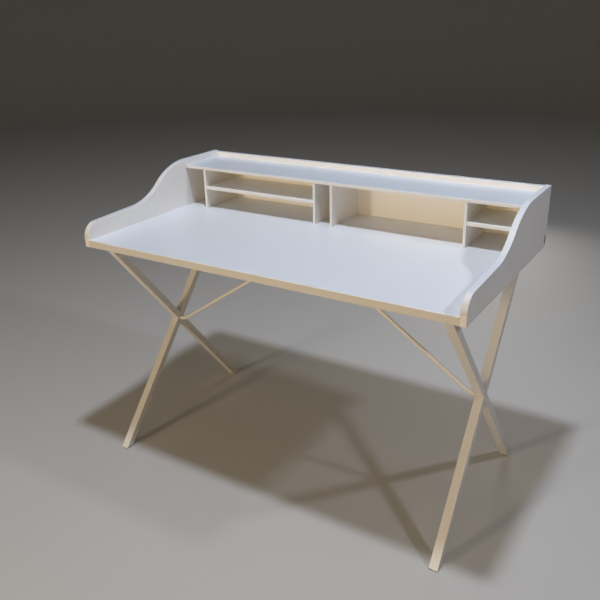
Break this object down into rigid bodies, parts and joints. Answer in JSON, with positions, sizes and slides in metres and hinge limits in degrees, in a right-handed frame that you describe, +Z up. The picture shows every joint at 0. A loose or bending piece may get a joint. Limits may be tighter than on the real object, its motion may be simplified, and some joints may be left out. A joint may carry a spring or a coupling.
{
  "type": "secretary desk",
  "caption": "White writing desk with curved side panels, a low hutch of open pigeonholes and crossed legs braced by bent rods.",
  "frame": {"origin": "on the floor at the middle of the desk's width and depth", "axes": "+X along the width to the sitter's right, +Y from the front edge to the back, +Z up"},
  "size_m": [1.208, 0.652, 0.9],
  "materials": {
    "top_lacquer": "satin cool-white lacquer on board",
    "body_lacquer": "satin warm-white lacquer on board",
    "leg_lacquer": "satin warm-white lacquer on solid wood",
    "rod_paint": "satin warm-white paint on steel rod",
    "bare_wood": "unfinished beech",
    "zinc_steel": "zinc-plated screw steel",
    "glide_plastic": "pale matt plastic"
  },
  "bodies": {
    "root": {"side_panel_left": "body_lacquer", "leg_left_rear_foot": "leg_lacquer", "leg_left_front_foot": "leg_lacquer", "leg_rail_left": "leg_lacquer", "brace_left": "rod_paint", "glide_left_rear": "glide_plastic", "glide_left_front": "glide_plastic", "leg_dowel_left_front": "bare_wood", "leg_dowel_left_rear": "bare_wood", "back_bolt_left": "zinc_steel", "panel_dowel_left_1": "bare_wood", "panel_dowel_left_2": "bare_wood", "panel_dowel_left_3": "bare_wood", "rail_screw_left_1": "zinc_steel", "rail_screw_left_2": "zinc_steel", "brace_screw_left_1": "zinc_steel", "brace_screw_left_2": "zinc_steel", "side_panel_right": "body_lacquer", "leg_right_rear_foot": "leg_lacquer", "leg_right_front_foot": "leg_lacquer", "leg_rail_right": "leg_lacquer", "brace_right": "rod_paint", "glide_right_rear": "glide_plastic", "glide_right_front": "glide_plastic", "leg_dowel_right_front": "bare_wood", "leg_dowel_right_rear": "bare_wood", "back_bolt_right": "zinc_steel", "panel_dowel_right_1": "bare_wood", "panel_dowel_right_2": "bare_wood", "panel_dowel_right_3": "bare_wood", "rail_screw_right_1": "zinc_steel", "rail_screw_right_2": "zinc_steel", "brace_screw_right_1": "zinc_steel", "brace_screw_right_2": "zinc_steel", "worktop": "top_lacquer", "back_panel": "body_lacquer", "top_shelf": "top_lacquer", "divider_1": "body_lacquer", "divider_2": "body_lacquer", "divider_3": "body_lacquer", "divider_4": "body_lacquer", "tray_shelf_left": "body_lacquer", "tray_shelf_right": "body_lacquer", "back_dowel_1": "bare_wood", "back_dowel_2": "bare_wood", "back_dowel_3": "bare_wood", "shelf_screw_1": "zinc_steel", "shelf_screw_2": "zinc_steel", "shelf_screw_3": "zinc_steel"}
  },
  "joints": []
}
